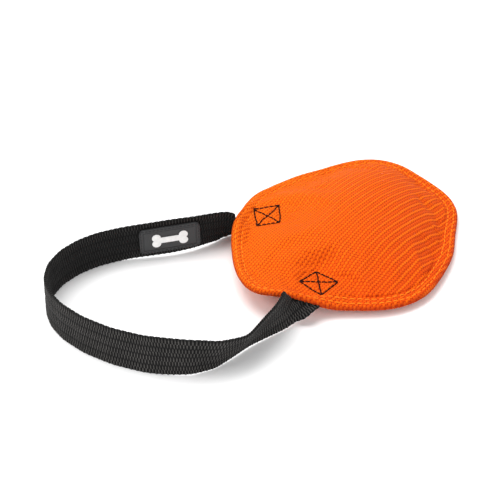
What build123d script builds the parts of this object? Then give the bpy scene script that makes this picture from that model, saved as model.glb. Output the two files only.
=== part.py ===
from build123d import *
import math
import os

# Training bumper: a stuffed fabric bite pad with a webbing loop handle, in millimetres.
# The pad lies flat on the XY plane with its middle over the origin. The handle lies to -X.

# Pad
PAD_RADIUS = 71.5          # mean radius of the pad's outline
PAD_HEIGHT = 26.0          # from the floor to the top of the upper cover
PAD_LOBES = [              # waves per turn, height over the mean radius, direction in degrees
    (1, 0.016, 42),
    (2, 0.101, 70),
    (3, 0.045, 105),
    (4, 0.014, 63),
    (5, 0.026, -131),
]
OUTLINE_SIDES = 60
COVER_THICKNESS = 1.8      # one layer of cover cloth, measured upright
RIM_THICKNESS = 5.4        # both covers with their turned-in hems
RIM_WIDTH = 8.0            # flange outside the filling
RIM_HEIGHT = 7.5           # middle of the rim over the floor
BASE_RADIUS = 38.0         # mean radius of the part that lies flat on the floor
TOP_RADIUS = 15.0          # mean radius of the flat part of the top
DOME_STEPS = 5             # facets from the flat top down to the rim
LAYER_GAP = 0.2            # air between layers, and between filling and covers

# Filling: three layers, told apart by the heights where they meet
FELT_LOW = 8.6
FELT_HIGH = 13.4
FILLING_INSET = 5.0        # from the rim's inner edge to the filling

# Webbing
STRAP_WIDTH = 25.0
STRAP_THICKNESS = 1.8
STRAP_EXITS = {            # direction of each exit, its depth inside the outline, and its heading
    "far": (148.82, 0.05, 167.0),
    "near": (219.93, 2.2, 204.0),
}
STRAP_SEWN_LENGTH = 32.0   # hidden under the upper cover
STRAP_PROUD = 0.5          # sewn end showing past the rim
STRAP_SPARE = 14.0         # sewn end drawn past the middle of its exit, then trimmed to the rim
STRAP_LEVEL_LENGTH = 12.0  # stretch that lies level in the rim
STRAP_RISE = 7.0           # how much the sewn end climbs beyond that, under the cover
SLOT_CLEARANCE = 0.15      # round the strap ends

# Route of the loop: x, y and z of the webbing's middle, and its lean towards the inside in degrees.
# It was laid out for one pad and one webbing, and spreads in proportion to both.
ROUTE_PAD_RADIUS = 71.5
ROUTE_STRAP_WIDTH = 25.0
ROUTE_POINTS = [
    (-57.0, 34.4, 9.0, 56),
    (-62.2, 33.7, 10.6, 34),
    (-67.7, 33.9, 12.2, 18),
    (-73.4, 34.2, 13.2, 12),
    (-84.9, 35.1, 14.0, 8),
    (-96.2, 37.5, 14.0, 6),
    (-107.3, 40.6, 13.6, 6),
    (-118.3, 43.8, 13.0, 6),
    (-128.5, 46.4, 12.6, 6),
    (-138.8, 47.4, 12.5, 5),
    (-151.0, 46.0, 12.5, 4),
    (-163.5, 41.4, 12.5, 3),
    (-174.0, 33.2, 12.5, 2),
    (-180.6, 22.4, 12.5, 1),
    (-182.8, 10.2, 12.5, 0),
    (-181.3, -3.0, 12.5, 0),
    (-175.6, -18.6, 12.5, 0),
    (-166.0, -34.4, 12.5, 0),
    (-153.5, -48.3, 12.5, 0),
    (-142.6, -56.7, 12.5, -2),
    (-131.3, -62.4, 12.4, -8),
    (-119.2, -65.7, 12.0, -16),
    (-106.7, -64.9, 12.0, -24),
    (-95.0, -60.2, 12.6, -18),
    (-83.4, -55.2, 12.9, -8),
    (-72.0, -50.2, 12.3, 7),
    (-66.3, -47.9, 11.5, 21),
    (-60.6, -46.0, 10.4, 40),
    (-54.4, -44.6, 9.2, 58),
]
LOOP_STATIONS = 72         # cross-sections along the loop

# Fold: the webbing bends where it leaves the rim, about a line through both exits
FOLD_OUTSIDE = 3.0         # from the middle of the two exits to the fold line
FOLD_OVER_RIM = 1.5        # fold line over the middle of the rim
FOLD_UP = 90.0             # degrees, loop lifted over the pad
FOLD_DOWN = 60.0           # degrees, loop hanging below the pad's edge
FOLD_CLEARANCE = 1.2       # between the loop's cut ends and the fold line
WEDGE_MARGIN = 5.0         # degrees cut away beyond half of each swing
WEDGE_REACH = 40.0         # how far the wedge reaches over the pad
RIM_CLEARANCE = 2.0        # between the loop and the pad's outline

# Thread
THREAD = 0.5
THREAD_GAP = 0.03          # between a thread and what it lies on
RIM_STITCH_INSETS = {"outer": 3.0, "inner": 6.2}
SEAM_INSET = 1.5           # construction seam inside the rim
BOX_DEPTHS = {"far": 21.2, "near": 12.3}     # from each exit in to the middle of its box
BOX_STITCH_SIZE = 15.0
BOX_MARGIN = 0.75          # rim stitching stops this far from a box

# Label on the inner face of the far leg
LABEL_LENGTH = 35.5
LABEL_HEIGHT = 17.8
LABEL_THICKNESS = 1.2
LABEL_CORNER = 1.5
LABEL_BORDER = 1.6         # width of the raised border
LABEL_RELIEF = 0.35        # height of the border and of the motif
LABEL_GAP = 0.3            # between label and webbing
LABEL_PLACE = 0.128        # share of the loop's length from its far end to the label's middle
LABEL_STITCH_INSET = 2.4
MOTIF_LENGTH = 20.0        # bone shape
MOTIF_KNOB = 2.3           # radius of the bone's knobs
MOTIF_SHAFT = 3.4          # width of the bone's shaft
MOTIF_SPREAD = 0.8         # knob's middle off the bone's axis, as a share of the knob's radius

RIM_HALF = RIM_THICKNESS / 2
RIM_TOP = RIM_HEIGHT + RIM_HALF
RIM_BOTTOM = RIM_HEIGHT - RIM_HALF
FILLED_RADIUS = PAD_RADIUS - RIM_WIDTH
DEEP = 60.0                # taller than the pad, for cutting shapes
WADDING_STEP = 1.0         # search step for the upper wadding's edge


def outline_reach(radius, angle):
    """Distance from the middle to the pad's outline, drawn to a mean radius, in one direction."""
    waves = sum(height * math.cos(count * angle - math.radians(turn)) for count, height, turn in PAD_LOBES)
    return radius * (1 + waves)


def outline_ring(radius, z):
    """Points of the pad's outline, drawn to a mean radius at one height."""
    points = []
    for i in range(OUTLINE_SIDES):
        angle = 2 * math.pi * i / OUTLINE_SIDES
        reach = outline_reach(radius, angle)
        points.append(Vector(reach * math.cos(angle), reach * math.sin(angle), z))
    return points


def exit_place(side):
    """Middle of one exit of the webbing from the rim, in plan."""
    direction, depth, heading = STRAP_EXITS[side]
    angle = math.radians(direction)
    reach = outline_reach(PAD_RADIUS, angle) - depth
    return reach * math.cos(angle), reach * math.sin(angle)


def box_place(side):
    """Middle of one box of stitching, in plan."""
    x, y = exit_place(side)
    heading = math.radians(STRAP_EXITS[side][2])
    depth = BOX_DEPTHS[side]
    return x - depth * math.cos(heading), y - depth * math.sin(heading)


def flat_face(*points):
    return Face(Wire.make_polygon(points))


def solid_from_rings(rings, split=False):
    """Closed solid through rings of points, with a flat face over the first and the last.

    With split, each side is two triangles, and opposite sides of the ring share one diagonal,
    so that a thin twisted strip keeps its thickness.
    """
    faces = [flat_face(*rings[0]), flat_face(*rings[-1])]
    for ring, following in zip(rings, rings[1:]):
        for i in range(len(ring)):
            j = (i + 1) % len(ring)
            if not split:
                faces.append(flat_face(ring[i], ring[j], following[j], following[i]))
            elif i < len(ring) // 2:
                faces.append(flat_face(ring[i], ring[j], following[j]))
                faces.append(flat_face(ring[i], following[j], following[i]))
            else:
                faces.append(flat_face(ring[i], ring[j], following[i]))
                faces.append(flat_face(ring[j], following[j], following[i]))
    solid = Solid(Shell(faces))
    return solid if solid.volume > 0 else Solid(Shell([-face for face in faces]))


def turned(profile):
    """Solid whose outline follows the pad's at each (mean radius, height) of a profile."""
    return solid_from_rings([outline_ring(radius, z) for radius, z in profile])


def prism(radius, low, high):
    return turned([(radius, low), (radius, high)])


def dome_height(radius):
    """Outside of the upper cover, from its flat top down to the rim."""
    share = max(radius - TOP_RADIUS, 0) / (FILLED_RADIUS - TOP_RADIUS)
    return RIM_TOP + (PAD_HEIGHT - RIM_TOP) * math.cos(share * math.pi / 2)


def dome_profile(drop, last_radius):
    """Profile of the dome, lowered by drop, from its top out to last_radius."""
    step = (last_radius - TOP_RADIUS) / DOME_STEPS
    radii = [TOP_RADIUS + step * i for i in range(DOME_STEPS + 1)]
    return [(radius, dome_height(radius) - drop) for radius in radii]


def base_height(radius):
    """Outside of the lower cover, from its flat base up to the rim."""
    return RIM_BOTTOM * (radius - BASE_RADIUS) / (FILLED_RADIUS - BASE_RADIUS)


def upright(sketch):
    """Prism through the whole pad over a flat sketch."""
    return extrude(Pos(0, 0, -DEEP / 2) * sketch, DEEP, dir=(0, 0, 1))


def strip(side, drop, thickness, margin):
    """Bent strip that follows a sewn strap end, with its upper face lowered by drop."""
    x, y = exit_place(side)
    heading = STRAP_EXITS[side][2]
    upper = RIM_HEIGHT + STRAP_THICKNESS / 2 - drop
    inner = -STRAP_SEWN_LENGTH - margin
    outer = STRAP_SPARE
    bend = -STRAP_LEVEL_LENGTH
    line = [(outer, upper), (bend, upper), (inner, upper + STRAP_RISE)]
    under = [(along, z - thickness) for along, z in reversed(line)]
    profile = Plane.XZ * Polygon(*line, *under, align=None)
    plate = extrude(profile, STRAP_WIDTH / 2 + margin, both=True)
    return Pos(x, y, 0) * Rot(0, 0, heading) * plate


def stitch_ring(inset, low, high):
    """Thread that runs round the rim at an inset from its edge."""
    outer = prism(PAD_RADIUS - inset + THREAD / 2, low, high)
    return outer - prism(PAD_RADIUS - inset - THREAD / 2, low - THREAD, high + THREAD)


def box_plan(side):
    """Plan of a square of stitching with its two diagonals."""
    x, y = box_place(side)
    outer = BOX_STITCH_SIZE + THREAD
    inner = BOX_STITCH_SIZE - THREAD
    lines = Rectangle(outer, outer) - Rectangle(inner, inner)
    for sign in (1, -1):
        lines += Rot(0, 0, 45 * sign) * Rectangle(BOX_STITCH_SIZE * math.sqrt(2), THREAD)
    return Pos(x, y) * Rot(0, 0, STRAP_EXITS[side][2]) * lines


def loop_plane(share):
    """Plane across the webbing at a share of the loop: X across its width, Z along it."""
    along = loop_path.tangent_at(share)
    place = loop_path.position_at(share)
    whole = min(int(share * (len(loop_route) - 1)), len(loop_route) - 2)
    lean = math.radians(lean_at(place, whole))
    inward = Vector(0, 0, 1).cross(along).normalized()
    upward = along.cross(inward).normalized()
    across = upward * math.cos(lean) + inward * math.sin(lean)
    return Plane(origin=place, x_dir=across, z_dir=along)


def lean_at(place, guess):
    """Lean of the webbing at a place on the loop, from the two route points beside it."""
    distances = [(place - Vector(*point[:3])).length for point in loop_route]
    nearest = distances.index(min(distances))
    beside = [i for i in (nearest - 1, nearest + 1) if 0 <= i < len(loop_route)]
    other = min(beside, key=lambda i: distances[i])
    share = distances[nearest] / (distances[nearest] + distances[other])
    return (1 - share) * loop_route[nearest][3] + share * loop_route[other][3]


def fold_wedge():
    """Space round the fold line that the loop leaves free, so that it can swing."""
    start = fold_x - FOLD_CLEARANCE
    rise = WEDGE_REACH / 2
    up = math.tan(math.radians(FOLD_UP / 2 + WEDGE_MARGIN))
    down = math.tan(math.radians(FOLD_DOWN / 2 + WEDGE_MARGIN))
    corners = [
        (start, fold_z),
        (start - rise * up, fold_z + rise),
        (WEDGE_REACH, fold_z + rise),
        (WEDGE_REACH, fold_z - rise),
        (start - rise * down, fold_z - rise),
    ]
    return extrude(Plane.XZ * Polygon(*corners, align=None), 2 * PAD_RADIUS, both=True)


def save(name, shape):
    solids = shape.solids()
    print(name, len(solids), round(sum(solid.volume for solid in solids), 1))
    export_step(solids[0] if len(solids) == 1 else Compound(children=solids), "parts/" + name + ".step")


os.makedirs("parts", exist_ok=True)

# Fold line, and the loop's route round this pad
fold_x = (exit_place("far")[0] + exit_place("near")[0]) / 2 - FOLD_OUTSIDE
fold_z = RIM_HEIGHT + FOLD_OVER_RIM
spread = PAD_RADIUS / ROUTE_PAD_RADIUS
lift = STRAP_WIDTH / ROUTE_STRAP_WIDTH
loop_route = [(x * spread, y * spread, z * lift, lean) for x, y, z, lean in ROUTE_POINTS]

# Strap ends, and the slots that the covers and the filling leave for them and their thread
rim_reach = prism(PAD_RADIUS + STRAP_PROUD, -DEEP / 2, DEEP / 2)
cover_slots = []
filling_slots = []
for side in STRAP_EXITS:
    save("strap_end_" + side, strip(side, 0, STRAP_THICKNESS, 0) & rim_reach)
    cover_slots.append(strip(side, -SLOT_CLEARANCE, STRAP_THICKNESS + 2 * SLOT_CLEARANCE, SLOT_CLEARANCE))
    deep = STRAP_THICKNESS + THREAD + 2 * LAYER_GAP
    filling_slots.append(strip(side, -SLOT_CLEARANCE, deep + SLOT_CLEARANCE, SLOT_CLEARANCE))

# Construction seam inside the rim, and the groove that both covers leave for it
seam_low = RIM_HEIGHT - THREAD / 2
seam_high = RIM_HEIGHT + THREAD / 2
seam = stitch_ring(SEAM_INSET, seam_low, seam_high)
for slot in cover_slots:
    seam -= slot
save("seam_thread", seam)
groove_outer = prism(PAD_RADIUS - SEAM_INSET + THREAD, seam_low - THREAD_GAP, seam_high + THREAD_GAP)
groove = groove_outer - prism(PAD_RADIUS - SEAM_INSET - THREAD, seam_low - THREAD, seam_high + THREAD)

# Covers: one layer over the filling, doubled by the hem in the rim
upper_profile = dome_profile(0, FILLED_RADIUS)
upper_profile += [(PAD_RADIUS, RIM_TOP), (PAD_RADIUS, RIM_HEIGHT + THREAD_GAP)]
upper_profile += [(FILLED_RADIUS, RIM_HEIGHT + THREAD_GAP)]
upper_profile += reversed(dome_profile(COVER_THICKNESS, FILLED_RADIUS))
lower_profile = [(BASE_RADIUS, 0), (FILLED_RADIUS, RIM_BOTTOM), (PAD_RADIUS, RIM_BOTTOM)]
lower_profile += [(PAD_RADIUS, RIM_HEIGHT - THREAD_GAP), (FILLED_RADIUS, RIM_HEIGHT - THREAD_GAP)]
lower_profile += [(FILLED_RADIUS, RIM_BOTTOM + COVER_THICKNESS), (BASE_RADIUS, COVER_THICKNESS)]
upper_cover = turned(upper_profile) - groove
lower_cover = turned(lower_profile) - groove
for slot in cover_slots:
    upper_cover -= slot
for slot in filling_slots:
    lower_cover -= slot
save("upper_cover", upper_cover)
save("lower_cover", lower_cover)

# Filling
filling_radius = FILLED_RADIUS - FILLING_INSET
lower_gap = COVER_THICKNESS + LAYER_GAP
lower_wadding = turned([
    (BASE_RADIUS, lower_gap),
    (filling_radius, base_height(filling_radius) + lower_gap),
    (filling_radius, FELT_LOW - LAYER_GAP),
])
upper_radius = filling_radius
while dome_height(upper_radius) - COVER_THICKNESS - LAYER_GAP < FELT_HIGH + 2 * LAYER_GAP:
    upper_radius -= WADDING_STEP
upper_wadding = turned(
    dome_profile(COVER_THICKNESS + LAYER_GAP, upper_radius) + [(upper_radius, FELT_HIGH + LAYER_GAP)]
)
core_felt = prism(upper_radius, FELT_LOW, FELT_HIGH)
for slot in filling_slots:
    lower_wadding -= slot
    core_felt -= slot
    upper_wadding -= slot
save("lower_wadding", lower_wadding)
save("core_felt", core_felt)
save("upper_wadding", upper_wadding)

# Two rows of topstitching round the rim: a needle thread on top, stopped by the box stitches,
# and a bobbin thread below
for row, inset in RIM_STITCH_INSETS.items():
    on_top = RIM_TOP + THREAD_GAP
    underneath = RIM_BOTTOM - THREAD_GAP
    needle = stitch_ring(inset, on_top, on_top + THREAD)
    for side in BOX_DEPTHS:
        space = BOX_STITCH_SIZE + 2 * BOX_MARGIN
        needle -= upright(Pos(*box_place(side)) * Rot(0, 0, STRAP_EXITS[side][2]) * Rectangle(space, space))
    save("rim_stitch_" + row + "_needle", needle)
    save("rim_stitch_" + row + "_bobbin", stitch_ring(inset, underneath - THREAD, underneath))

# Box stitches: the needle thread on the cover, the bobbin thread under the strap end
dome = turned(dome_profile(0, FILLED_RADIUS) + [(PAD_RADIUS, RIM_TOP), (PAD_RADIUS, -DEEP)])
for side in BOX_DEPTHS:
    box_prism = upright(box_plan(side))
    needle = (box_prism & (Pos(0, 0, THREAD_GAP + THREAD) * dome)) - Pos(0, 0, THREAD_GAP) * dome
    save("box_stitch_" + side + "_needle", needle)
    bobbin = box_prism & strip(side, STRAP_THICKNESS + THREAD_GAP, THREAD, 0)
    save("box_stitch_" + side + "_bobbin", bobbin)

# Loop of webbing, cut back round the pad and the fold line
loop_path = Spline(*[point[:3] for point in loop_route])
sections = []
for i in range(LOOP_STATIONS + 1):
    plane = loop_plane(i / LOOP_STATIONS)
    corners = [(1, 1), (-1, 1), (-1, -1), (1, -1)]
    half_width = STRAP_WIDTH / 2
    half_thickness = STRAP_THICKNESS / 2
    sections.append([plane.from_local_coords((half_width * a, half_thickness * b)) for a, b in corners])
loop = solid_from_rings(sections, split=True)
loop = (loop - fold_wedge()) - prism(PAD_RADIUS + RIM_CLEARANCE, -DEEP / 2, DEEP / 2)
save("handle_strap", loop.solids().sort_by(SortBy.VOLUME)[-1])
print("webbing from exit to exit", round(loop_path.length, 1))
print("fold line", round(fold_x, 2), round(fold_z, 2))

# Label: a rubber patch with a raised border, a bone motif and a line of stitching
centre = loop_plane(LABEL_PLACE)
face_out = -1 if centre.y_dir.Y > 0 else 1
label_plane = Plane(origin=centre.origin, x_dir=centre.z_dir, z_dir=centre.y_dir * face_out)
back = STRAP_THICKNESS / 2 + LABEL_GAP
front = back + LABEL_THICKNESS
patch = RectangleRounded(LABEL_LENGTH, LABEL_HEIGHT, LABEL_CORNER)
field = Rectangle(LABEL_LENGTH - 2 * LABEL_BORDER, LABEL_HEIGHT - 2 * LABEL_BORDER)
label = extrude(Pos(0, 0, back) * patch, LABEL_THICKNESS)
label += extrude(Pos(0, 0, front) * (patch - field), LABEL_RELIEF)
save("label_patch", label_plane * label)

knob_place = MOTIF_LENGTH / 2 - MOTIF_KNOB
bone = Rectangle(2 * knob_place, MOTIF_SHAFT)
for end in (-1, 1):
    for rise in (-1, 1):
        bone += Pos(end * knob_place, rise * MOTIF_KNOB * MOTIF_SPREAD) * Circle(MOTIF_KNOB)
save("label_motif", label_plane * extrude(Pos(0, 0, front + THREAD_GAP) * bone, LABEL_RELIEF))

stitch_length = LABEL_LENGTH - 2 * LABEL_STITCH_INSET
stitch_height = LABEL_HEIGHT - 2 * LABEL_STITCH_INSET
stitch_outer = Rectangle(stitch_length, stitch_height)
stitch_line = stitch_outer - Rectangle(stitch_length - 2 * THREAD, stitch_height - 2 * THREAD)
save("label_stitch", label_plane * extrude(Pos(0, 0, front + THREAD_GAP) * stitch_line, THREAD))
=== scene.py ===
# A training bumper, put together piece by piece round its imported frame. Lengths are in metres.
import math

import bpy
import numpy as np
from mathutils import Matrix, Vector, noise
from mathutils.bvhtree import BVHTree


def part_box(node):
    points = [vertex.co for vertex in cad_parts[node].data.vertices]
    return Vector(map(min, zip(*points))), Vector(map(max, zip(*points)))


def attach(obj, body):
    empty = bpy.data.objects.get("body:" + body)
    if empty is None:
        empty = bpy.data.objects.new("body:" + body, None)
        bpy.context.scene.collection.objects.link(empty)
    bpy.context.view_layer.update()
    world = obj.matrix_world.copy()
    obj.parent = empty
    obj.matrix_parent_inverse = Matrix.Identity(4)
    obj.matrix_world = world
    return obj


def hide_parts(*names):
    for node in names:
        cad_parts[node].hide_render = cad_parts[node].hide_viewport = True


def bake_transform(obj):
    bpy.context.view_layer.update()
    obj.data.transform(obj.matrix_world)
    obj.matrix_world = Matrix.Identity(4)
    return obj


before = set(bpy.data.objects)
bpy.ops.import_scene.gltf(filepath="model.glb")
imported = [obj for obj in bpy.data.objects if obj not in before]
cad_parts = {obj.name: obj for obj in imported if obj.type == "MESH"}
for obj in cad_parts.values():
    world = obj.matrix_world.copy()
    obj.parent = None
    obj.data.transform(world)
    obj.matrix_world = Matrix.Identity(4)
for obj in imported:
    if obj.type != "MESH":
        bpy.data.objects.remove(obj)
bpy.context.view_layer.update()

MM = 0.001


# ---- Covers -------------------------------------------------------------------------------------
# Two pieces of coarse ribbed nylon and cotton cloth, cut to one rounded outline and sewn together
# at the rim round their filling. Air and wadding push them out; the rim and the boxes hold them in.

PAD_RADIUS = 71.5 * MM
PAD_LOBES = [
    (1, 0.008, 50), (2, 0.122, 64), (3, 0.028, 154), (4, 0.036, 78), (5, 0.027, -98),
    (6, 0.006, -150), (7, 0.016, -8), (8, 0.003, -30), (9, 0.007, 15),
]
PAD_TOP = 24.2 * MM          # before the filling swells it
RIM_WIDTH = 8.0 * MM
RIM_HALF = 2.5 * MM
RIM_ROUND = 2.2 * MM         # rounding of each cover's folded edge
RIM_LEVEL = 5.2 * MM
RIM_TILT = 1.5 * MM
LIP_RISE = 7.5 * MM          # the rim rises between the two ends of the handle
LIP_INSIDE = 3.0 * MM        # what is left of that rise inside the rim
LIP_DEPTH = 9.0 * MM
LIP_FAR = (100, 40)          # degrees where the rise starts, and how many it takes
LIP_NEAR = (237, 22)
LIP_PEAKS = [(155, 14, 4.5 * MM), (212, 9, 3.0 * MM)]      # over the edges of the webbing
BASE_SHARE = 0.50            # share of the filled radius that lies flat
DOME_FULLNESS = 2.3          # how far out the dome stays high
DOME_SHOULDER = 1.15         # how sharply it then falls to the rim
COVER_CELLS = 150


def smooth_step(value):
    value = np.clip(value, 0.0, 1.0)
    return value * value * (3 - 2 * value)


def outline_radius(angle):
    """Reach of the pad's edge from its middle in one direction."""
    waves = 0.0
    for count, height, turn in PAD_LOBES:
        waves = waves + height * np.cos(count * angle - math.radians(turn))
    return PAD_RADIUS * (1 + waves)


def lip_share(angle):
    """1 on the lip between the handle's ends, 0 on the rest of the rim."""
    turn = np.degrees(angle) % 360
    after_far = smooth_step((turn - LIP_FAR[0]) / LIP_FAR[1])
    return after_far * smooth_step((LIP_NEAR[0] - turn) / LIP_NEAR[1])


def rim_height(angle):
    """Height of the middle of the rim over the floor."""
    turn = np.degrees(angle) % 360
    peaks = sum(rise * np.exp(-((turn - place) / width) ** 2) for place, width, rise in LIP_PEAKS)
    return RIM_LEVEL - RIM_TILT * np.cos(angle) + LIP_RISE * lip_share(angle) + peaks


# Corners of the two squares of stitching that hold the ends of the handle, in millimetres
BOX_CORNERS = {
    "far": [(-40.9, 39.4), (-25.6, 36.1), (-33.6, 20.7), (-46.8, 24.6)],
    "near": [(-50.0, -31.7), (-37.4, -28.8), (-31.0, -41.8), (-45.0, -47.3)],
}
BOX_LEVEL = {"far": 13.0 * MM, "near": 11.0 * MM}
BOX_REACH = 10 * MM          # the cover lies level this far from the middle of a box
BOX_FADE = 13 * MM
BOX_FIRMNESS = 0.9           # share of the way that a box pulls the cover to its level


def cover_heights(reach, angle):
    """Heights of the upper and the lower cover at a distance from the middle, before filling."""
    radius = outline_radius(angle)
    calm = RIM_LEVEL - RIM_TILT * np.cos(angle) + LIP_INSIDE * lip_share(angle)
    rim = calm + (rim_height(angle) - calm) * np.exp(-((radius - reach) / LIP_DEPTH) ** 2)
    share = np.clip(reach / (radius - RIM_WIDTH), 0, 1)
    fold = np.clip((reach - radius + RIM_ROUND) / RIM_ROUND, 0, 1)
    half = RIM_HALF * np.sqrt(np.clip(1 - fold ** 2, 0, 1))
    dome = (1 - share ** DOME_FULLNESS) ** DOME_SHOULDER
    upper = rim + half + (PAD_TOP - rim - RIM_HALF) * dome
    for side, corners in BOX_CORNERS.items():
        x, y = np.mean(corners, axis=0) * MM
        away = np.hypot(reach * np.cos(angle) - x, reach * np.sin(angle) - y)
        level = 1 - smooth_step((away - BOX_REACH) / BOX_FADE)
        level *= smooth_step((radius - reach) / RIM_WIDTH)
        upper += (BOX_LEVEL[side] - upper) * level * BOX_FIRMNESS
    flat = 1 - smooth_step((share - BASE_SHARE) / (1 - BASE_SHARE))
    lower = (rim - half) * (1 - flat)
    return upper, lower


def deselect():
    bpy.ops.object.select_all(action="DESELECT")


def select_only(piece):
    deselect()
    piece.select_set(True)
    bpy.context.view_layer.objects.active = piece


def name_piece(piece, name):
    piece.name = name
    piece.data.name = name


def points_of(piece):
    points = np.empty(len(piece.data.vertices) * 3)
    piece.data.vertices.foreach_get("co", points)
    return points.reshape(-1, 3)


def move_points(piece, points):
    piece.data.vertices.foreach_set("co", points.reshape(-1))
    piece.data.update()


def disc_grid(name, cells):
    """Square grid laid out as a disc: gives the piece, and each point's share and direction."""
    deselect()
    bpy.ops.mesh.primitive_grid_add(x_subdivisions=cells, y_subdivisions=cells, size=2)
    piece = bpy.context.object
    name_piece(piece, name)
    points = points_of(piece)
    a, b = points[:, 0], points[:, 1]
    wide = np.abs(a) > np.abs(b)
    safe_a = np.where(wide, a, 1)
    safe_b = np.where(wide | (b == 0), 1, b)
    share = np.where(wide, a, b)
    angle = np.where(wide, math.pi / 4 * b / safe_a, math.pi / 2 - math.pi / 4 * a / safe_b)
    x, y = share * np.cos(angle), share * np.sin(angle)
    return piece, np.hypot(x, y), np.arctan2(y, x)


def box_lines(side):
    """The four sides and two diagonals of a box, as pairs of corners."""
    corners = BOX_CORNERS[side]
    sides = [(corners[i], corners[(i + 1) % 4]) for i in range(4)]
    return sides + [(corners[0], corners[2]), (corners[1], corners[3])]


def distance_to_line(points, start, end):
    start, end = np.array(start) * MM, np.array(end) * MM
    along = end - start
    part = np.clip(((points - start) @ along) / (along @ along), 0, 1)
    return np.linalg.norm(points - start - part[:, None] * along, axis=1)


def distance_to_boxes(points):
    lines = [line for side in BOX_CORNERS for line in box_lines(side)]
    return np.min([distance_to_line(points[:, :2], *line) for line in lines], axis=0)


def wobble(points, scale, seed):
    """Smooth noise between -1 and 1 at each point."""
    offset = Vector((seed * 7.3, seed * 3.1, seed * 5.7))
    return np.array([noise.noise(Vector(point) * scale + offset) for point in points])


upper, share, angle = disc_grid("upper_cover_cloth", COVER_CELLS)
reach = share * outline_radius(angle)
upper_z, lower_z = cover_heights(reach, angle)
flat_points = np.stack([reach * np.cos(angle), reach * np.sin(angle)], axis=1)
move_points(upper, np.column_stack([flat_points, upper_z]))

select_only(upper)
bpy.ops.object.duplicate()
lower = bpy.context.object
name_piece(lower, "lower_cover_cloth")
move_points(lower, np.column_stack([flat_points, lower_z]))
bpy.ops.object.mode_set(mode="EDIT")
bpy.ops.mesh.select_all(action="SELECT")
bpy.ops.mesh.flip_normals()
bpy.ops.object.mode_set(mode="OBJECT")

PRESSURE = 5.0
SPARE_CLOTH = -0.035         # below zero the cloth grows, by this share, so that it wrinkles
FRAMES = 18
SWELL_LIMIT = 2.6 * MM       # no point of the cloth moves further than this
HOLD_MARGIN = 1.5 * MM       # the rim's grip reaches this far short of the rim's inner edge
HOLD_FADE = 2.5 * MM
BOX_HOLD = 0.9
BOX_HOLD_WIDTH = 2.0 * MM    # to each side of a line of stitches
FLOOR_HOLD = 0.8
FLOOR_HOLD_HEIGHT = 1.0 * MM
WELD = 0.01 * MM             # points closer than this become one


def stuff(top, bottom):
    """Blows up a copy of the two covers as one bag, and gives each cover's points their new places."""
    select_only(top)
    bottom.select_set(True)
    bpy.ops.object.duplicate()
    bpy.ops.object.join()
    bag = bpy.context.object
    start = points_of(bag)
    bpy.ops.object.mode_set(mode="EDIT")
    bpy.ops.mesh.select_all(action="SELECT")
    bpy.ops.mesh.remove_doubles(threshold=WELD)
    bpy.ops.object.mode_set(mode="OBJECT")
    before = points_of(bag)
    turn = np.arctan2(before[:, 1], before[:, 0])
    inset = outline_radius(turn) - np.hypot(before[:, 0], before[:, 1])
    held = 1 - smooth_step((inset - RIM_WIDTH + HOLD_MARGIN) / HOLD_FADE)
    held_at_boxes = BOX_HOLD * np.exp(-(distance_to_boxes(before) / BOX_HOLD_WIDTH) ** 2)
    held = np.maximum(held, held_at_boxes)
    held = np.where(before[:, 2] < FLOOR_HOLD_HEIGHT, np.maximum(held, FLOOR_HOLD), held)
    group = bag.vertex_groups.new(name="held")
    for index, weight in enumerate(held):
        group.add([index], float(weight), "REPLACE")
    bpy.ops.object.modifier_add(type="CLOTH")
    cloth = bag.modifiers[-1]
    cloth.settings.quality = 6
    cloth.settings.mass = 0.25
    cloth.settings.tension_stiffness = 12
    cloth.settings.compression_stiffness = 12
    cloth.settings.shear_stiffness = 5
    cloth.settings.bending_stiffness = 0.4
    cloth.settings.use_pressure = True
    cloth.settings.uniform_pressure_force = PRESSURE
    cloth.settings.shrink_min = SPARE_CLOTH
    cloth.settings.effector_weights.gravity = 0
    cloth.settings.vertex_group_mass = "held"
    cloth.collision_settings.use_collision = False
    cloth.point_cache.frame_end = FRAMES
    for step in range(1, FRAMES + 1):
        bpy.context.scene.frame_set(step)
    bpy.ops.object.modifier_apply(modifier=cloth.name)
    bpy.context.scene.frame_set(1)
    moved = points_of(bag) - before
    size = np.linalg.norm(moved, axis=1)
    moved *= (SWELL_LIMIT * np.tanh(size / SWELL_LIMIT) / np.maximum(size, 1e-9))[:, None]
    after = before + moved
    places = {tuple(np.round(point, 7)): index for index, point in enumerate(before)}
    order = [places.get(tuple(np.round(point, 7)), -1) for point in start]
    bpy.data.objects.remove(bag)
    return [after[index] if index >= 0 else start[i] for i, index in enumerate(order)]


stuffed = np.array(stuff(upper, lower))
count = len(upper.data.vertices)
move_points(upper, stuffed[:count])
move_points(lower, stuffed[count:])

STITCH_ROWS = {"outer": 2.7 * MM, "inner": 6.3 * MM}
STITCH_PITCH = 4.1 * MM
CORD_PITCH = 3.9 * MM        # from one rib of the cloth to the next
FLOAT_PITCH = 1.9 * MM       # along a rib, from one float of yarn to the next
CORD_TURN = math.radians(24)
STITCH_PULL = (0.45 * MM, 0.15 * MM)         # depth along a row, and its rise and fall
PULL_WIDTH = 0.9 * MM
CREASES = [(55, 1, 0.45 * MM), (120, 2, 0.22 * MM)]        # waves per metre, seed, height
RAY_COUNT = 26               # small gathers that run inwards from the stitching
RAY_HEIGHT = 0.9 * MM
RIB_HEIGHT = 0.04 * MM
BOX_SINK = (0.75 * MM, 1.5 * MM)             # depth and width of the dent under box stitches
BOX_SWELL = (0.5 * MM, 6.0 * MM)             # height and width of the swell beside them


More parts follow.
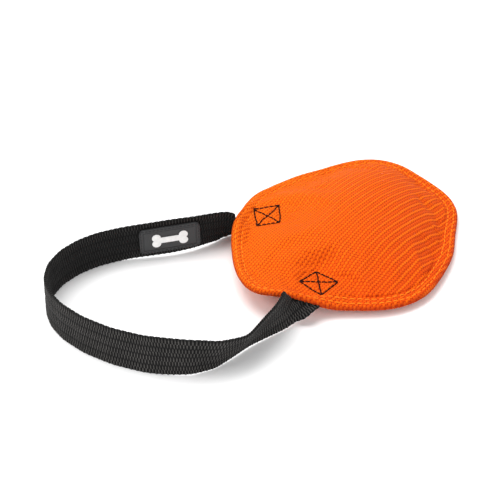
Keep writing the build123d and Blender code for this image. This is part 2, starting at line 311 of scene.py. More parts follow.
def finish_cover(piece, side):
    """Rounds a cover and works the stitches' pull, the ribs and small creases into it."""
    select_only(piece)
    bpy.ops.object.modifier_add(type="SUBSURF")
    smooth = piece.modifiers[-1]
    smooth.levels = 1
    smooth.render_levels = 1
    bpy.ops.object.modifier_apply(modifier=smooth.name)
    points = points_of(piece)
    turn = np.arctan2(points[:, 1], points[:, 0])
    radius = outline_radius(turn)
    inset = radius - np.hypot(points[:, 0], points[:, 1])
    lift = np.zeros(len(points))
    around = turn * PAD_RADIUS / STITCH_PITCH * 2 * math.pi
    for depth in STITCH_ROWS.values():
        pull = np.exp(-((inset - depth) / PULL_WIDTH) ** 2)
        lift -= pull * (STITCH_PULL[0] + STITCH_PULL[1] * np.cos(around))
    edge = smooth_step((inset - 0.5 * MM) / (1.5 * MM))
    crease = sum(wobble(points, scale, seed) * height for scale, seed, height in CREASES)
    lift += crease * edge * (1.2 - 0.6 * smooth_step((inset - 5 * MM) / (40 * MM)))
    rays = np.cos(turn * RAY_COUNT + 3 * wobble(points, 18, 3)) * wobble(points, 30, 4)
    lift += rays * RAY_HEIGHT * np.exp(-((inset - 11 * MM) / (7 * MM)) ** 2)
    across = points[:, 1] * math.cos(CORD_TURN) - points[:, 0] * math.sin(CORD_TURN)
    across /= CORD_PITCH
    across += 0.18 * wobble(points, 45, 5)
    ribs = np.cos(2 * math.pi * across)
    inner = smooth_step((inset - 6 * MM) / (6 * MM))
    far_from_handle = smooth_step((points[:, 0] + 30 * MM) / (60 * MM))
    lift += ribs * RIB_HEIGHT * inner * (0.3 + 0.7 * far_from_handle)
    if side > 0:
        near = distance_to_boxes(points)
        lift -= BOX_SINK[0] * np.exp(-(near / BOX_SINK[1]) ** 2)
        lift += BOX_SWELL[0] * np.exp(-(near / BOX_SWELL[1]) ** 2)
    normals = np.empty(len(points) * 3)
    piece.data.vertices.foreach_get("normal", normals)
    points += normals.reshape(-1, 3) * lift[:, None]
    if side < 0:
        points[:, 2] = np.maximum(points[:, 2], 0.05 * MM)
    move_points(piece, points)
    inset_attribute = piece.data.attributes.new("inset", "FLOAT", "POINT")
    inset_attribute.data.foreach_set("value", (inset / RIM_WIDTH).astype(np.float32))
    select_only(piece)
    bpy.ops.object.shade_smooth()


finish_cover(upper, 1)
finish_cover(lower, -1)


class Shade:
    """A socket of a material. Sums on it add Math nodes, and node() adds any other node."""

    def __init__(self, tree, socket=None):
        self.tree = tree
        self.socket = socket

    def node(self, kind, settings=None, inputs=None, output=0):
        made = self.tree.nodes.new(kind)
        for name, value in (settings or {}).items():
            setattr(made, name, value)
        for name, value in (inputs or {}).items():
            if isinstance(value, Shade):
                self.tree.links.new(value.socket, made.inputs[name])
            else:
                made.inputs[name].default_value = value
        return Shade(self.tree, made.outputs[output])

    def math(self, operation, first, second=0.0):
        return self.node("ShaderNodeMath", {"operation": operation}, {0: first, 1: second})

    def __add__(self, other):
        return self.math("ADD", self, other)

    def __radd__(self, other):
        return self.math("ADD", other, self)

    def __sub__(self, other):
        return self.math("SUBTRACT", self, other)

    def __rsub__(self, other):
        return self.math("SUBTRACT", other, self)

    def __mul__(self, other):
        return self.math("MULTIPLY", self, other)

    def __rmul__(self, other):
        return self.math("MULTIPLY", other, self)

    def __truediv__(self, other):
        return self.math("DIVIDE", self, other)

    def __pow__(self, other):
        return self.math("POWER", self, other)

    def cos(self):
        return self.math("COSINE", self)

    def floor(self):
        return self.math("FLOOR", self)

    def limited(self):
        return self.node("ShaderNodeClamp", {}, {"Value": self})

    def tint(self, low, high):
        """Colour between low, which may be a socket, and high by this value."""
        low = (*low, 1) if isinstance(low, tuple) else low
        inputs = {"Factor": self, 6: low, 7: (*high, 1)}
        return self.node("ShaderNodeMix", {"data_type": "RGBA"}, inputs, output=2)


def new_material(name):
    """Material and its bare tree, ready for a Principled shader."""
    material = bpy.data.materials.new(name)
    material.use_nodes = True
    material.node_tree.nodes.clear()
    return material, Shade(material.node_tree)


def noise_at(shade, place, scale, detail=2.0, roughness=0.5):
    inputs = {"Vector": place, "Scale": scale, "Detail": detail, "Roughness": roughness}
    return shade.node("ShaderNodeTexNoise", {"noise_dimensions": "3D"}, inputs)


def finish_material(shade, colour, roughness, height, relief, strength=1.0, **fixed):
    """Principled shader with a bump, joined to the output."""
    bump_inputs = {"Strength": strength, "Distance": relief, "Height": height}
    bump = shade.node("ShaderNodeBump", {}, bump_inputs)
    inputs = {"Base Color": colour, "Roughness": roughness, "Normal": bump}
    inputs.update({name.replace("_", " "): value for name, value in fixed.items()})
    surface = shade.node("ShaderNodeBsdfPrincipled", {}, inputs)
    output = shade.tree.nodes.new("ShaderNodeOutputMaterial")
    shade.tree.links.new(surface.socket, output.inputs["Surface"])


def cloth_material():
    """Bright orange coarse cloth: slanting cords, each of two rows of floats, with painted shade in the
    holes.
    """
    material, shade = new_material("orange_ribbed_cloth")
    place = shade.node("ShaderNodeTexCoord", {}, {}, output=3)
    x = place.node("ShaderNodeSeparateXYZ", {}, {"Vector": place})
    y = Shade(x.tree, x.socket.node.outputs[1])
    waver = noise_at(shade, place, 60.0)
    patchy = noise_at(shade, place, 28.0, 2.0)
    fine = noise_at(shade, place, 1300.0, 3.0, 0.6)
    across = (y * math.cos(CORD_TURN) - x * math.sin(CORD_TURN)) / CORD_PITCH + waver * 0.22
    along = (x * math.cos(CORD_TURN) + y * math.sin(CORD_TURN)) / FLOAT_PITCH + waver * 0.9
    cord = (across * (2 * math.pi)).cos() * 0.5 + 0.5
    half_cord = (across * (4 * math.pi)).cos() * 0.5 + 0.5
    row = (across * 2.0 + 0.5).floor()
    float_end = ((along + row * 0.5) * (2 * math.pi)).cos() * 0.5 + 0.5
    strength = (x * 9.0 - y * 3.0 + 0.55 + (patchy - 0.5) * 1.6).limited()
    hole = (1 - half_cord) * (1 - float_end) + half_cord * (1 - float_end) * 0.3 + (fine - 0.5) * 1.2
    hole_shade = ((hole - 0.38) * 2.4).limited()
    valley_shade = ((1 - cord) * strength * 0.65 + (fine - 0.5) * 0.8).limited()
    height = (
        half_cord * (0.25 + float_end * 0.60)
        + cord * (strength * 0.20 + 0.05)
        + (fine - 0.5) * 1.3
    )
    lit = (height * 0.8 + (patchy - 0.5) * 0.6 - 0.12).limited()
    colour = lit.tint((0.72, 0.074, 0.0010), (0.92, 0.175, 0.0035))
    # painted light: the cover is painted lighter towards the back, where it faces the light
    back_light = (y * 9.0 - x * 3.0 + 0.45).limited()
    colour = (back_light * 0.45).tint(colour, (0.94, 0.200, 0.0040))
    # painted shade: the valleys between the cords are painted darker
    colour = (valley_shade * 0.8).tint(colour, (0.56, 0.034, 0.002))
    # painted shade: the holes between the floats are painted dark
    colour = (hole_shade * 0.85).tint(colour, (0.27, 0.013, 0.001))
    rim = shade.node("ShaderNodeAttribute", {"attribute_name": "inset"}, {}, output=2)
    # painted shade: the outermost millimetre of each cover, in the crease where the two covers meet at
    # the rim, is painted dark
    seam_crease_shade = (1 - rim * 8.0).limited()
    colour = (seam_crease_shade * 0.7).tint(colour, (0.30, 0.015, 0.001))
    roughness = 0.95 - lit * 0.08
    finish_material(shade, colour, roughness, height, 0.55 * MM, 0.8, Specular_IOR_Level=0.12)
    return material


orange_cloth = cloth_material()
for cover in (upper, lower):
    cover.data.materials.append(orange_cloth)
    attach(cover, "pad")
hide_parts("upper_cover", "upper_wadding", "core_felt")
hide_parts("lower_cover", "lower_wadding", "seam_thread")


# ---- Rim stitching ------------------------------------------------------------------------------
# Two rows of light orange polyester thread, lockstitched by machine through both covers and their
# hems. The needle thread shows on top, and the bobbin thread shows underneath.

THREAD_RADIUS = 0.36 * MM
THREAD_SIDES = 7
THREAD_STEPS = 7
THREAD_ARCH = 0.75           # rise of a stitch's middle, in thread radii
THREAD_SINK = 0.90           # depth of its ends in the cloth, in thread radii
STITCH_LENGTH = 3.3 * MM
STITCH_SWAY = 0.12 * MM
LIP_SINK = 0.3 * MM          # the stitches lie deeper in the lip's fuller cloth


def surface_of(piece):
    mesh = piece.data
    return BVHTree.FromPolygons(
        [vertex.co.copy() for vertex in mesh.vertices],
        [tuple(polygon.vertices) for polygon in mesh.polygons],
    )


upper_surface = surface_of(upper)
lower_surface = surface_of(lower)


def on_surface(surface, x, y, side):
    """Point of a cover straight above or below a place in plan."""
    start = Vector((x, y, side * 60 * MM))
    hit = surface.ray_cast(start, Vector((0, 0, -side)))
    return hit[0] if hit[0] is not None else Vector((x, y, 0))


def thread_piece(name, runs, radius):
    """One mesh of short arched stitches. Each run is (start, end, outward)."""
    deselect()
    bpy.ops.mesh.primitive_cylinder_add(
        vertices=THREAD_SIDES, radius=1, depth=2, end_fill_type="TRIFAN"
    )
    model = bpy.context.object
    bpy.ops.object.mode_set(mode="EDIT")
    for i in range(1, THREAD_STEPS):
        height = -1 + 2 * i / THREAD_STEPS
        bpy.ops.mesh.select_all(action="SELECT")
        bpy.ops.mesh.bisect(plane_co=(0, 0, height), plane_no=(0, 0, 1))
    bpy.ops.object.mode_set(mode="OBJECT")
    shape = points_of(model)
    faces = [list(polygon.vertices) for polygon in model.data.polygons]
    bpy.data.objects.remove(model)
    taper = np.clip(1.12 - 0.62 * np.abs(shape[:, 2]) ** 4, 0.4, 1)
    all_points, all_faces = [], []
    for start, end, outward in runs:
        start, end, outward = np.array(start), np.array(end), np.array(outward)
        along = end - start
        length = np.linalg.norm(along)
        side = np.cross(outward, along / length)
        part = (shape[:, 2] + 1) / 2
        tail = shape[:, 2] ** 4
        arch = ((1 - tail) * THREAD_ARCH - tail * THREAD_SINK) * radius
        centre = start + part[:, None] * along + arch[:, None] * outward
        spread = side * (shape[:, 0] * taper * radius)[:, None]
        rise = outward * (shape[:, 1] * taper * radius * 0.85)[:, None]
        all_faces += [[index + len(all_points) * len(shape) for index in face] for face in faces]
        all_points.append(centre + spread + rise)
    mesh = bpy.data.meshes.new(name)
    mesh.from_pydata(np.concatenate(all_points).tolist(), [], all_faces)
    mesh.update()
    piece = bpy.data.objects.new(name, mesh)
    bpy.context.scene.collection.objects.link(piece)
    select_only(piece)
    bpy.ops.object.mode_set(mode="EDIT")
    bpy.ops.mesh.select_all(action="SELECT")
    bpy.ops.mesh.normals_make_consistent(inside=False)
    bpy.ops.object.mode_set(mode="OBJECT")
    bpy.ops.object.shade_smooth()
    return piece


def thread_material(name, low, high):
    """Twisted thread: fine plies and a soft shine."""
    material, shade = new_material(name)
    place = shade.node("ShaderNodeTexCoord", {}, {}, output=3)
    plies = noise_at(shade, place, 2600.0, 2.0)
    broad = noise_at(shade, place, 150.0, 1.0)
    colour = (plies * 0.8 + broad * 0.3).limited().tint(low, high)
    finish_material(shade, colour, 0.8 - plies * 0.2, plies, 0.2 * MM, 0.6, Specular_IOR_Level=0.08)
    return material


rim_thread = thread_material("light_orange_thread", (0.78, 0.14, 0.006), (0.95, 0.27, 0.018))
sway = np.random.default_rng(7)


def rim_runs(surface, depth, side):
    """Stitches of one row, laid end to end round the rim."""
    turns = np.linspace(0, 2 * math.pi, 3601)
    reach = outline_radius(turns) - depth
    line = np.column_stack([reach * np.cos(turns), reach * np.sin(turns)])
    length = np.r_[0, np.cumsum(np.linalg.norm(np.diff(line, axis=0), axis=1))]
    count = round(length[-1] / STITCH_PITCH)
    runs = []
    for i in range(count):
        middle = (i + 0.5) * length[-1] / count
        ends = []
        shift = sway.normal(0, STITCH_SWAY)
        for offset in (-STITCH_LENGTH / 2, STITCH_LENGTH / 2):
            at = (middle + offset) % length[-1]
            x, y = (np.interp(at, length, line[:, k]) for k in (0, 1))
            scale = 1 + shift / math.hypot(x, y)
            sunk = LIP_SINK * float(lip_share(math.atan2(y, x)))
            point = on_surface(surface, x * scale, y * scale, side)
            ends.append(point - Vector((0, 0, side * sunk)))
        runs.append((ends[0], ends[1], (0, 0, side)))
    return runs


for row, depth in STITCH_ROWS.items():
    for half, surface, side in (("needle", upper_surface, 1), ("bobbin", lower_surface, -1)):
        name = "rim_stitch_" + row + "_" + half
        piece = thread_piece(name + "_thread", rim_runs(surface, depth, side), THREAD_RADIUS)
        piece.data.materials.append(rim_thread)
        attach(piece, "pad")
        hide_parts(name)


# ---- Box stitches -------------------------------------------------------------------------------
# A square with a cross of black bonded nylon thread through the upper cover and each end of the
# webbing, sewn by hand-guided machine, so that its lines are a little crooked.

BOX_THREAD_RADIUS = 0.42 * MM
BOX_STITCH = 3.0 * MM
BOX_SWAY = 0.18 * MM
BOX_OVERLAP = 0.03           # share of a stitch by which it runs on into the next one

box_thread = thread_material("black_bonded_thread", (0.006, 0.002, 0.002), (0.030, 0.006, 0.004))
for side in BOX_CORNERS:
    runs = []
    for start, end in box_lines(side):
        start, end = np.array(start) * MM, np.array(end) * MM
        count = max(round(float(np.linalg.norm(end - start)) / BOX_STITCH), 2)
        marks = [start + (end - start) * i / count for i in range(count + 1)]
        marks = [mark + sway.normal(0, BOX_SWAY, 2) for mark in marks]
        for first, second in zip(marks, marks[1:]):
            spare = (second - first) * BOX_OVERLAP
            places = (first - spare, second + spare)
            tips = [on_surface(upper_surface, x, y, 1) for x, y in places]
            runs.append((*tips, (0, 0, 1)))
    name = "box_stitch_" + side
    piece = thread_piece(name + "_thread", runs, BOX_THREAD_RADIUS)
    piece.data.materials.append(box_thread)
    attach(piece, "pad")
    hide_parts(name + "_needle", name + "_bobbin")


# ---- Webbing handle -----------------------------------------------------------------------------
# One length of black nylon webbing, woven in four ribs with grooves between them. It stands on its
# edge round the loop, twists as it reaches the pad, and runs in between the covers at both ends.

STRAP_HALF_WIDTH = 12.5 * MM
STRAP_HALF_THICKNESS = 0.8 * MM
PICK = 1.65 * MM             # from one cross thread to the next
RIB_GROOVES = (-0.5, 0.0, 0.5)
GROOVE_WIDTH = 0.045         # in half widths of the webbing
DIMPLES = (-0.75, -0.25, 0.25, 0.75)
DIMPLE_WIDTH = 0.03
EDGE_SHARPNESS = 0.14        # nearer to 0, the section is squarer
POINT_SPREAD = 0.72          # below 1, the section's points crowd towards its middle
STRAP_ROWS = 960
STRAP_AROUND = 56
ROUTE_PASSES = 101           # each pass rounds the route a little more
RIM_BITE = 0.6 * MM          # the covers hold the webbing from here inwards
COVER_DEPTH = 0.9 * MM       # of the webbing's faces behind the covers' outsides
MOUTH = 9 * MM               # the near end's upper edge rises from the rim over this reach
MOUTH_SLOPE = 1.1
# x, y and z of the webbing's middle in millimetres, and its lean towards the inside in degrees
LOOP_ROUTE = [
    (-44.0, 31.9, 9.0, 88),
    (-50.8, 29.6, 9.8, 74),
    (-55.9, 29.5, 9.9, 53),
    (-58.3, 31.6, 10.4, 30),
    (-62.2, 33.6, 12.4, 18),
    (-71.1, 33.6, 13.9, 14),
    (-83.3, 33.7, 14.8, 9),
    (-96.1, 36.3, 14.8, 5),
    (-109.1, 40.2, 14.2, 6),
    (-119.9, 43.8, 13.6, 7),
    (-128.5, 46.4, 12.6, 6),
    (-138.8, 47.4, 12.5, 5),
    (-151.0, 46.0, 12.5, 4),
    (-163.5, 41.4, 12.5, 3),
    (-174.0, 33.2, 12.5, 2),
    (-180.6, 22.4, 12.5, 1),
    (-182.8, 10.2, 12.5, 0),
    (-181.3, -3.0, 12.5, 0),
    (-175.6, -18.6, 12.5, 0),
    (-166.0, -34.4, 12.5, 0),
    (-153.5, -48.3, 12.5, 0),
    (-143.0, -57.6, 13.6, -1),
    (-133.0, -64.0, 13.9, -5),
    (-119.4, -67.7, 12.8, -18),
    (-105.3, -66.3, 12.3, -30),
    (-93.4, -61.2, 13.0, -23),
    (-80.8, -56.9, 13.4, -12),
    (-68.8, -51.8, 13.8, 5),
    (-64.8, -47.8, 14.6, 25),
    (-60.5, -44.6, 13.0, 62),
    (-55.9, -42.5, 9.2, 90),
    (-50.8, -40.4, 7.3, 95),
    (-43.7, -38.4, 6.6, 95),
]


def smooth_route(route, count, passes):
    """Even steps along a route of points, rounded at the points."""
    route = np.array(route, float)
    chord = np.r_[0, np.cumsum(np.linalg.norm(np.diff(route[:, :3], axis=0), axis=1))]
    even = np.linspace(0, chord[-1], count)
    line = np.column_stack([np.interp(even, chord, route[:, k]) for k in range(4)])
    for _ in range(passes):
        line[1:-1] = (line[:-2] + 2 * line[1:-1] + line[2:]) / 4
    return line


def strap_frames(count):
    """Middle, width direction, face direction and distance travelled at each step."""
    line = smooth_route(LOOP_ROUTE, count, ROUTE_PASSES)
    middle = line[:, :3] * MM
    lean = np.radians(line[:, 3])[:, None]
    along = np.gradient(middle, axis=0)
    along /= np.linalg.norm(along, axis=1)[:, None]
    inward = np.cross((0, 0, 1), along)
    inward /= np.linalg.norm(inward, axis=1)[:, None]
    upward = np.cross(along, inward)
    across = upward * np.cos(lean) + inward * np.sin(lean)
    face = np.cross(across, along)
    steps = np.linalg.norm(np.diff(middle, axis=0), axis=1)
    return middle, across, face, np.r_[0, np.cumsum(steps)]


deselect()
bpy.ops.mesh.primitive_grid_add(x_subdivisions=STRAP_ROWS, y_subdivisions=STRAP_AROUND, size=2)
strap = bpy.context.object
name_piece(strap, "handle_webbing")
grid = points_of(strap)
row = np.clip(np.round((grid[:, 0] + 1) / 2 * STRAP_ROWS).astype(int), 0, STRAP_ROWS)
around = (grid[:, 1] + 1) / 2 * 2 * math.pi
middle, across, face, distance = strap_frames(STRAP_ROWS + 1)
wide = np.sign(np.cos(around)) * np.abs(np.cos(around)) ** POINT_SPREAD
thick = np.sign(np.sin(around)) * np.abs(np.sin(around)) ** EDGE_SHARPNESS
column = np.floor((wide + 1) * 4)
pick = np.cos(2 * math.pi * (distance[row] / PICK + 0.5 * np.mod(column, 2)))
groove = sum(np.exp(-((wide - place) / GROOVE_WIDTH) ** 2) for place in RIB_GROOVES)
dimple = sum(np.exp(-((wide - place) / DIMPLE_WIDTH) ** 2) for place in DIMPLES)
crown = 1 + 0.20 * pick * (1 - groove) - 0.35 * groove - 0.12 * dimple
selvedge = 1 + 0.012 * np.cos(2 * math.pi * distance[row] / (2 * PICK))
strap_points = (
    middle[row]
    + across[row] * (wide * STRAP_HALF_WIDTH * selvedge)[:, None]
    + face[row] * (thick * STRAP_HALF_THICKNESS * crown)[:, None]
)
reach = np.hypot(strap_points[:, 0], strap_points[:, 1])
bitten = outline_radius(np.arctan2(strap_points[:, 1], strap_points[:, 0])) - RIM_BITE
near_mouth = (strap_points[:, 1] < 0) & (reach < bitten + MOUTH)
for i in np.nonzero((reach < bitten) | near_mouth)[0]:
    x, y = strap_points[i, :2] * min(1.0, bitten[i] / reach[i])
    past = max(0.0, reach[i] - bitten[i])
    ceiling = on_surface(upper_surface, x, y, 1).z - COVER_DEPTH + MOUTH_SLOPE * past
    strap_points[i, 2] = min(strap_points[i, 2], ceiling)
    if past == 0:
        ground = on_surface(lower_surface, x, y, -1).z + COVER_DEPTH
        strap_points[i, 2] = max(strap_points[i, 2], min(ground, ceiling))
move_points(strap, strap_points)
for name, values in (
    ("strap_along", distance[row]),
    ("strap_across", wide),
    ("strap_shade_side", np.sin(around)),
):
    strap.data.attributes.new(name, "FLOAT", "POINT").data.foreach_set("value", values.astype(np.float32))
bpy.ops.object.mode_set(mode="EDIT")
bpy.ops.mesh.select_all(action="SELECT")
bpy.ops.mesh.remove_doubles(threshold=WELD)
bpy.ops.mesh.select_all(action="DESELECT")
bpy.ops.mesh.select_non_manifold()
bpy.ops.mesh.edge_face_add()
bpy.ops.mesh.select_all(action="SELECT")
bpy.ops.mesh.normals_make_consistent(inside=False)
bpy.ops.object.mode_set(mode="OBJECT")
bpy.ops.object.shade_smooth()


def webbing_material():
    """Black nylon webbing: short cross bars in eight columns, with painted shade in the grooves.

    The side that faces into the loop is painted darker, as painted shade.
    """
    material, shade = new_material("black_webbing")
    place = shade.node("ShaderNodeTexCoord", {}, {}, output=3)
    run = shade.node("ShaderNodeAttribute", {"attribute_name": "strap_along"}, {}, output=2)
    width = shade.node("ShaderNodeAttribute", {"attribute_name": "strap_across"}, {}, output=2)
    step = ((width + 1.0) * 4.0).floor()
    bars = ((run / PICK + step * 0.5) * (2 * math.pi)).cos() * 0.5 + 0.5
    bars = bars ** 1.3
    panel = (width * (4 * math.pi)).cos() * 0.5 + 0.5
    groove = ((panel - 0.80) * 5.0).limited()
    strands = ((width * 42.0) * math.pi).cos() * 0.5 + 0.5
    fibres = noise_at(shade, place, 1400.0, 3.0, 0.6)
    worn = noise_at(shade, place, 90.0, 2.0)
    height = bars * 0.6 + strands * 0.15 + fibres * 0.35
    raised = (bars * 0.9 + (fibres - 0.5) * 0.9 + (worn - 0.5) * 0.3).limited()
    # painted highlight on the raised bars, and painted shade between them
    colour = (raised ** 2.0).tint((0.0008, 0.0008, 0.0008), (0.082, 0.077, 0.073))
    # painted shade: the grooves between the ribs are painted near black
    colour = (groove * 0.75).tint(colour, (0.003, 0.003, 0.003))
    roughness = 0.80 - raised * 0.25
    side = shade.node("ShaderNodeAttribute", {"attribute_name": "strap_shade_side"}, {}, output=2)
    # painted shade: the side of the webbing that faces into the loop is painted darker
    colour = (side * 0.8).limited().tint(colour, (0.003, 0.003, 0.003))
    finish_material(shade, colour, roughness, height - groove * 0.4, 0.35 * MM, 1.0,
                    Specular_IOR_Level=0.15)
    return material


strap.data.materials.append(webbing_material())
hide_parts("handle_strap", "strap_end_far", "strap_end_near")
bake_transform(strap)


# ---- Label --------------------------------------------------------------------------------------
# A soft black rubber patch with a raised border and a plain bone shape moulded in white. It is
# stitched through its border to the inner face of the webbing.

LABEL_LENGTH = 35.5 * MM
LABEL_HEIGHT = 17.8 * MM
LABEL_THICKNESS = 1.2 * MM
LABEL_CORNER = 2.9 * MM
LABEL_BORDER = 1.7 * MM
LABEL_CHAMFER = 0.15 * MM
LABEL_GROOVE = 0.4 * MM
LABEL_RELIEF = 0.35 * MM
LABEL_PANEL = 0.2 * MM       # the middle of the sunken part stands up this much
LABEL_STITCH_INSET = 0.9 * MM
LABEL_STITCH_PITCH = 2.2 * MM
LABEL_THREAD_RADIUS = 0.20 * MM
LABEL_GAP = 0.15 * MM        # to the middle of the webbing's face, clear of its weave

label_low, label_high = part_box("label_patch")
label_place = (Vector(label_low) + Vector(label_high)) / 2
nearest = int(np.argmin(np.linalg.norm(middle - np.array(label_place), axis=1)))
label_across = Vector(across[nearest])
label_out = Vector(face[nearest])
if label_out.dot(Vector((0, -1, 0))) < 0:
    label_out = -label_out
label_right = label_across.cross(label_out)
label_turn = Matrix((label_right, label_across, label_out)).transposed().to_4x4()
label_centre = Vector(middle[nearest]) + label_out * (STRAP_HALF_THICKNESS + LABEL_GAP)
label_matrix = Matrix.Translation(label_centre) @ label_turn


def settle(piece, name, matrix):
    """Names a piece, and puts its place and turn into its mesh."""
    name_piece(piece, name)
    piece.data.transform(matrix @ piece.matrix_world)
    piece.matrix_world = Matrix.Identity(4)


deselect()
bpy.ops.mesh.primitive_plane_add(size=1)
label = bpy.context.object
label.scale = (LABEL_LENGTH, LABEL_HEIGHT, 1)
bpy.ops.object.transform_apply(location=True, rotation=True, scale=True)
bpy.ops.object.mode_set(mode="EDIT")
bpy.ops.mesh.select_all(action="SELECT")
bpy.ops.mesh.bevel(offset=LABEL_CORNER, segments=6, affect="VERTICES")
bpy.ops.mesh.select_mode(type="FACE")
bpy.ops.mesh.select_all(action="SELECT")
rise = LABEL_THICKNESS - LABEL_CHAMFER
bpy.ops.mesh.extrude_region_move(TRANSFORM_OT_translate={"value": (0, 0, rise)})
bpy.ops.mesh.inset(thickness=LABEL_CHAMFER, depth=LABEL_CHAMFER)
bpy.ops.mesh.inset(thickness=LABEL_BORDER, depth=0)
bpy.ops.mesh.inset(thickness=LABEL_CHAMFER, depth=-LABEL_RELIEF)
bpy.ops.mesh.inset(thickness=LABEL_GROOVE, depth=0)
bpy.ops.mesh.inset(thickness=LABEL_CHAMFER, depth=LABEL_PANEL)
bpy.ops.mesh.select_all(action="SELECT")
bpy.ops.mesh.normals_make_consistent(inside=False)
bpy.ops.object.mode_set(mode="OBJECT")
bpy.ops.object.shade_smooth_by_angle(angle=math.radians(35))
settle(label, "label_rubber_patch", label_matrix)


def rubber_material():
    """Satin black rubber with a faint moulded grain and lighter rubbed patches."""
    material, shade = new_material("black_label_rubber")
    place = shade.node("ShaderNodeTexCoord", {}, {}, output=3)
    grain = noise_at(shade, place, 2200.0, 2.0)
    smear = noise_at(shade, place, 160.0, 3.0)
    colour = (smear * 1.2 - 0.2).limited().tint((0.012, 0.012, 0.013), (0.030, 0.030, 0.032))
    finish_material(shade, colour, 0.42 + smear * 0.2, grain, 0.08 * MM, 0.4)
    return material


label.data.materials.append(rubber_material())
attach(label, "handle")
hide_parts("label_patch")

BONE_LENGTH = 21.0 * MM
BONE_KNOB = 2.6 * MM
BONE_SHAFT = 4.0 * MM
BONE_RELIEF = 0.35 * MM
BONE_BEVEL = 0.12 * MM
BONE_LIFT = 0.1 * MM         # of the motif's underside over the panel
KNOB_SPREAD = 0.82           # of a knob's middle from the shaft's line, in knob radii

deselect()
bpy.ops.mesh.primitive_cube_add(size=1)
bone = bpy.context.object
bone.scale = (BONE_LENGTH - 2 * BONE_KNOB, BONE_SHAFT, BONE_RELIEF)
bpy.ops.object.transform_apply(location=True, rotation=True, scale=True)
for end in (-1, 1):
    for rise in (-1, 1):
        deselect()
        place = (end * (BONE_LENGTH / 2 - BONE_KNOB), rise * BONE_KNOB * KNOB_SPREAD, 0)
        bpy.ops.mesh.primitive_cylinder_add(
            vertices=40, radius=BONE_KNOB, depth=BONE_RELIEF, location=place
        )
        knob = bpy.context.object
        select_only(bone)
        bpy.ops.object.modifier_add(type="BOOLEAN")
        union = bone.modifiers[-1]
        union.operation = "UNION"
        union.object = knob
        bpy.ops.object.modifier_apply(modifier=union.name)
        bpy.data.objects.remove(knob)
bpy.ops.object.modifier_add(type="BEVEL")
bevel = bone.modifiers[-1]
bevel.width = BONE_BEVEL
bevel.segments = 2
bevel.limit_method = "ANGLE"
bevel.angle_limit = math.radians(50)
bpy.ops.object.modifier_apply(modifier=bevel.name)
bpy.ops.object.shade_smooth_by_angle(angle=math.radians(40))
bone_height = LABEL_THICKNESS - LABEL_RELIEF + LABEL_PANEL + BONE_RELIEF / 2 + BONE_LIFT
settle(bone, "label_bone_motif", label_matrix @ Matrix.Translation((0, 0, bone_height)))


def print_material():
    """White moulded rubber, very slightly uneven and worn grey in patches."""
    material, shade = new_material("white_label_rubber")
    place = shade.node("ShaderNodeTexCoord", {}, {}, output=3)
    smear = noise_at(shade, place, 500.0, 3.0)
    colour = smear.tint((0.70, 0.70, 0.69), (0.95, 0.95, 0.94))
    finish_material(shade, colour, 0.5 + smear * 0.1, smear, 0.05 * MM, 0.3)
    return material


bone.data.materials.append(print_material())
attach(bone, "handle")
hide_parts("label_motif")

half_x = LABEL_LENGTH / 2 - LABEL_STITCH_INSET
half_y = LABEL_HEIGHT / 2 - LABEL_STITCH_INSET
corners = [(half_x, half_y), (-half_x, half_y), (-half_x, -half_y), (half_x, -half_y)]
label_runs = []
for i in range(4):
    start, end = np.array(corners[i]), np.array(corners[(i + 1) % 4])
    count = round(float(np.linalg.norm(end - start)) / LABEL_STITCH_PITCH)
    for j in range(count):
        ends = [start + (end - start) * (j + part) / count for part in (0.1, 0.9)]
        tips = [label_matrix @ Vector((*tip, LABEL_THICKNESS)) for tip in ends]
        label_runs.append((tips[0], tips[1], tuple(label_out)))
label_stitch = thread_piece("label_stitch_thread", label_runs, LABEL_THREAD_RADIUS)
label_thread = thread_material("charcoal_label_thread", (0.012, 0.012, 0.013), (0.05, 0.05, 0.052))
label_stitch.data.materials.append(label_thread)
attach(label_stitch, "handle")
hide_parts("label_stitch")


# ---- Floor, light and camera --------------------------------------------------------------------
# A plain pale floor under soft studio light: one lamp overhead, one at the left, one at the front,
# and an even white sky round them.

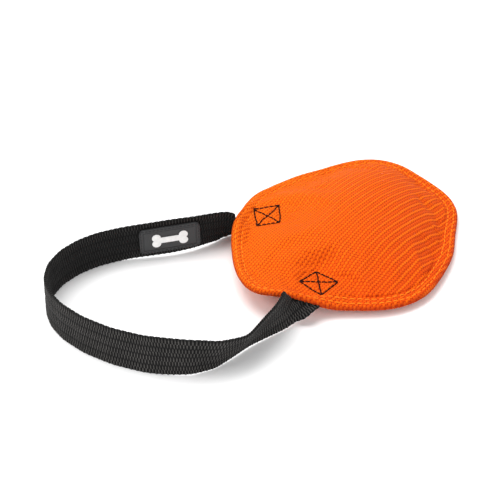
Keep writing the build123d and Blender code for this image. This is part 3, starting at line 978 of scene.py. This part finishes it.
FLOOR_SIZE = 6.0
FLOOR_GAP = 0.2 * MM         # between the floor and the pad's underside
SKY_STRENGTH = 0.80
LIT_PLACE = (-0.05, 0, 0)
CAMERA_PLACE = (-0.3911, -0.6141, 0.5416)
CAMERA_AIM = (-0.0536, 0.0206, 0)
CAMERA_LENS = 110.2          # millimetres, on a sensor 36 mm wide
CAMERA_SENSOR = 36

deselect()
bpy.ops.mesh.primitive_grid_add(x_subdivisions=4, y_subdivisions=4, size=FLOOR_SIZE)
floor = bpy.context.object
floor.name = "studio_floor"
floor.location = (0, 0, -FLOOR_GAP)
floor_material, floor_shade = new_material("pale_studio_floor")
floor_place = floor_shade.node("ShaderNodeTexCoord", {}, {}, output=3)
floor_grain = noise_at(floor_shade, floor_place, 3.0)
floor_colour = floor_grain.tint((0.93, 0.93, 0.93), (0.97, 0.97, 0.97))
finish_material(floor_shade, floor_colour, 0.9 - floor_grain * 0.05, floor_grain, 0.1 * MM, 0.1)
floor.data.materials.append(floor_material)

world = bpy.data.worlds.new("studio_world")
bpy.context.scene.world = world
world.use_nodes = True
sky = world.node_tree.nodes["Background"]
sky.inputs["Color"].default_value = (1, 1, 1, 1)
sky.inputs["Strength"].default_value = SKY_STRENGTH


def turn_to(viewer, aim):
    """Turns a lamp or a camera towards a place."""
    viewer.rotation_euler = (Vector(aim) - viewer.location).to_track_quat("-Z", "Y").to_euler()


def soft_light(name, place, size, power):
    data = bpy.data.lights.new(name, "AREA")
    data.shape = "DISK"
    data.size = size
    data.energy = power
    lamp = bpy.data.objects.new(name, data)
    bpy.context.scene.collection.objects.link(lamp)
    lamp.location = place
    turn_to(lamp, LIT_PLACE)


soft_light("top_light", (-0.2, 0.3, 1.3), 1.0, 13)
soft_light("left_light", (-1.2, 0.1, 0.9), 0.8, 6)
soft_light("front_light", (-0.3, -1.3, 0.8), 1.0, 4)

camera_data = bpy.data.cameras.new("camera")
camera_data.lens = CAMERA_LENS
camera_data.sensor_width = CAMERA_SENSOR
camera = bpy.data.objects.new("camera", camera_data)
bpy.context.scene.collection.objects.link(camera)
camera.location = CAMERA_PLACE
turn_to(camera, CAMERA_AIM)
bpy.context.scene.camera = camera
bpy.context.scene.view_settings.view_transform = "Standard"
